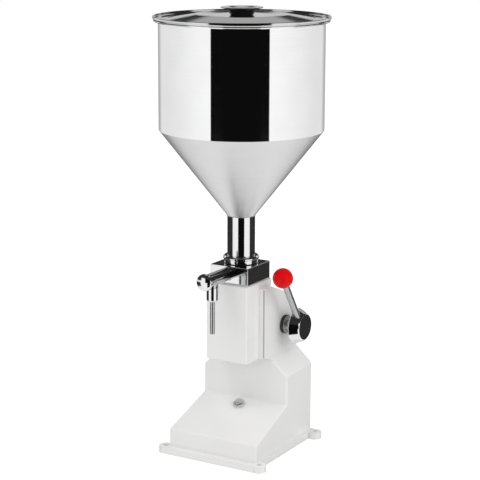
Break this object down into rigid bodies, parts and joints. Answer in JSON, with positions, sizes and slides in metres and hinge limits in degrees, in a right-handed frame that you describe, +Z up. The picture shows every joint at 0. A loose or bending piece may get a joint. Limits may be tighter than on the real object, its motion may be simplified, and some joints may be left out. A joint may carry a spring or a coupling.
{
  "type": "donut filler machine",
  "caption": "Bench-top hand filler: a steel hopper feeds a small piston pump worked by a ball lever, which pushes filling out through a thin downward nozzle.",
  "frame": {"origin": "centre of the four base holes on the table plane", "axes": "+Z up, -Y towards the nozzle and the user, +X towards the lever side"},
  "size_m": [0.3006, 0.3006, 0.7752],
  "materials": {
    "white_paint": "smooth satin white enamel",
    "satin_steel": "fine turned or ground stainless steel",
    "polished_steel": "mirror-polished stainless steel",
    "satin_cone": "satin-ground stainless steel",
    "chrome_hub": "bright chrome plate",
    "zinc_screws": "bright zinc-plated steel",
    "dark_steel": "blackened steel",
    "bearing_steel": "turned steel with a blackened rim",
    "cast_arm": "machined cast iron",
    "red_ball": "glossy moulded plastic",
    "black_plastic": "satin moulded plastic",
    "white_plastic": "machined food-grade plastic",
    "seal_rubber": "matte food-grade rubber"
  },
  "bodies": {
    "stand": {"base_plate": "white_paint", "base_screws": "zinc_screws", "stand_casting": "white_paint", "rear_cover": "white_paint", "rear_cover_screws": "zinc_screws", "front_cover": "white_paint", "front_cover_screws": "zinc_screws", "valve_block": "satin_steel", "block_screws": "zinc_screws", "cylinder_barrel": "satin_steel", "cylinder_seal": "seal_rubber", "left_bearing": "bearing_steel", "right_bearing": "bearing_steel", "bearing_screws": "dark_steel", "stop_nut": "zinc_screws", "stop_screw": "zinc_screws", "hopper_collar": "satin_steel", "hopper_seal": "seal_rubber", "hopper_neck": "polished_steel", "hopper_cone": "satin_cone", "hopper_bowl": "polished_steel", "inlet_cage": "satin_steel", "outlet_barrel": "satin_steel", "outlet_seal": "seal_rubber", "outlet_cap": "polished_steel", "outlet_spring": "satin_steel", "nozzle_holder": "satin_steel", "nozzle_tube": "satin_steel"},
    "lever": {"drive_shaft": "satin_steel", "arm_key": "dark_steel", "drive_arm": "cast_arm", "shaft_clip": "dark_steel", "lever_hub": "chrome_hub", "hub_set_screw": "dark_steel", "lever_rod": "satin_steel", "lever_ball": "red_ball"},
    "piston": {"piston_head": "white_plastic", "piston_rings": "seal_rubber", "piston_rod": "satin_steel", "rod_pin": "satin_steel", "pin_clips": "dark_steel"},
    "inlet_ball": {"inlet_ball": "white_plastic"},
    "outlet_poppet": {"outlet_poppet": "white_plastic"},
    "lid": {"hopper_lid": "polished_steel", "lid_ring": "polished_steel", "lid_knob": "black_plastic", "knob_cap": "polished_steel", "knob_screw": "zinc_screws"}
  },
  "joints": [
    {"name": "lever_turn", "type": "hinge", "parent": "stand", "child": "lever", "pos_m": [0.084, 0.0625, 0.215], "axis": [1, 0, 0], "range_deg": [0, 34.2]},
    {"name": "piston_stroke", "type": "slide", "parent": "stand", "child": "piston", "axis": [0, 0, -1], "range_m": [0, 0.0402]},
    {"name": "inlet_ball_lift", "type": "slide", "parent": "stand", "child": "inlet_ball", "axis": [0, 0, 1], "range_m": [0, 0.0038]},
    {"name": "outlet_poppet_slide", "type": "slide", "parent": "stand", "child": "outlet_poppet", "axis": [0, -1, 0], "range_m": [0, 0.006], "stiffness_N_per_m": 150, "springref_m": -0.004, "deforming": ["outlet_spring"]},
    {"name": "lid_lift", "type": "slide", "parent": "stand", "child": "lid", "axis": [0, 0, 1], "range_m": [0, 0.15]}
  ],
  "couplings": [
    {"joint": "piston_stroke", "follows": "lever_turn", "m_per_rad": 0.067}
  ]
}
